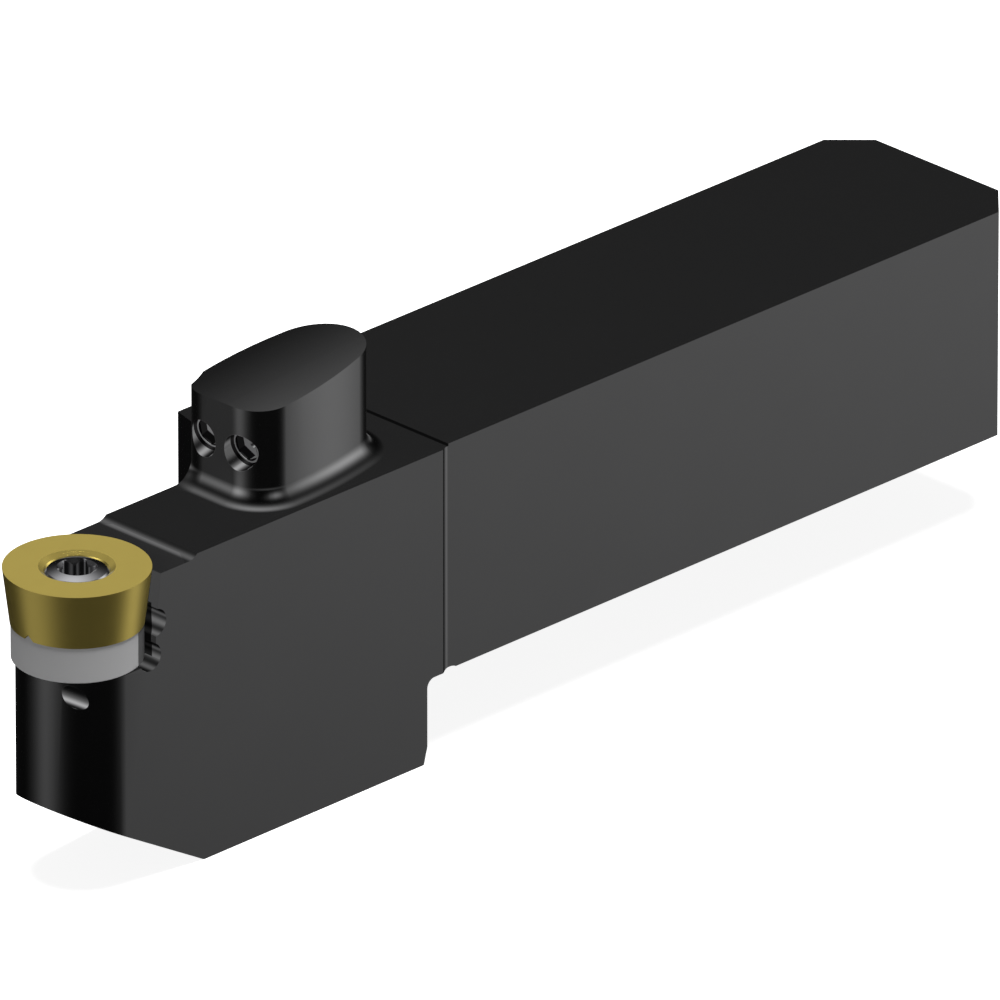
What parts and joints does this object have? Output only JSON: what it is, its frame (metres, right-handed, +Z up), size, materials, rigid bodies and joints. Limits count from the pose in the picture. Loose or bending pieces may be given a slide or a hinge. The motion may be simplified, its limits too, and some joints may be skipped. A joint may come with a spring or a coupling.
{
  "type": "turning tool holder",
  "caption": "Square-shank turning tool holder with a round screwed-down insert on a shim, a coolant boss with screwed nozzles on top and coolant passages through shank and head.",
  "frame": {"origin": "middle of the shank's bottom face", "axes": "+X along the shank from the head to the rear end, +Z up towards the insert's rake face, -Y towards the head's plain side"},
  "size_m": [0.1088, 0.0209, 0.0366],
  "materials": {
    "holder_steel": "smooth dark grey machined steel",
    "coated_carbide": "satin gold coating on carbide",
    "ground_carbide": "ground light grey carbide",
    "screw_steel": "bright hardened steel",
    "nozzle_steel": "bright turned steel"
  },
  "bodies": {
    "root": {"holder_body": "holder_steel", "insert": "coated_carbide", "shim": "ground_carbide", "shim_screw": "screw_steel", "insert_screw": "screw_steel", "nozzle_plain_side": "nozzle_steel", "nozzle_back_side": "nozzle_steel", "riser_plug": "screw_steel", "feed_plug": "screw_steel"}
  },
  "joints": []
}
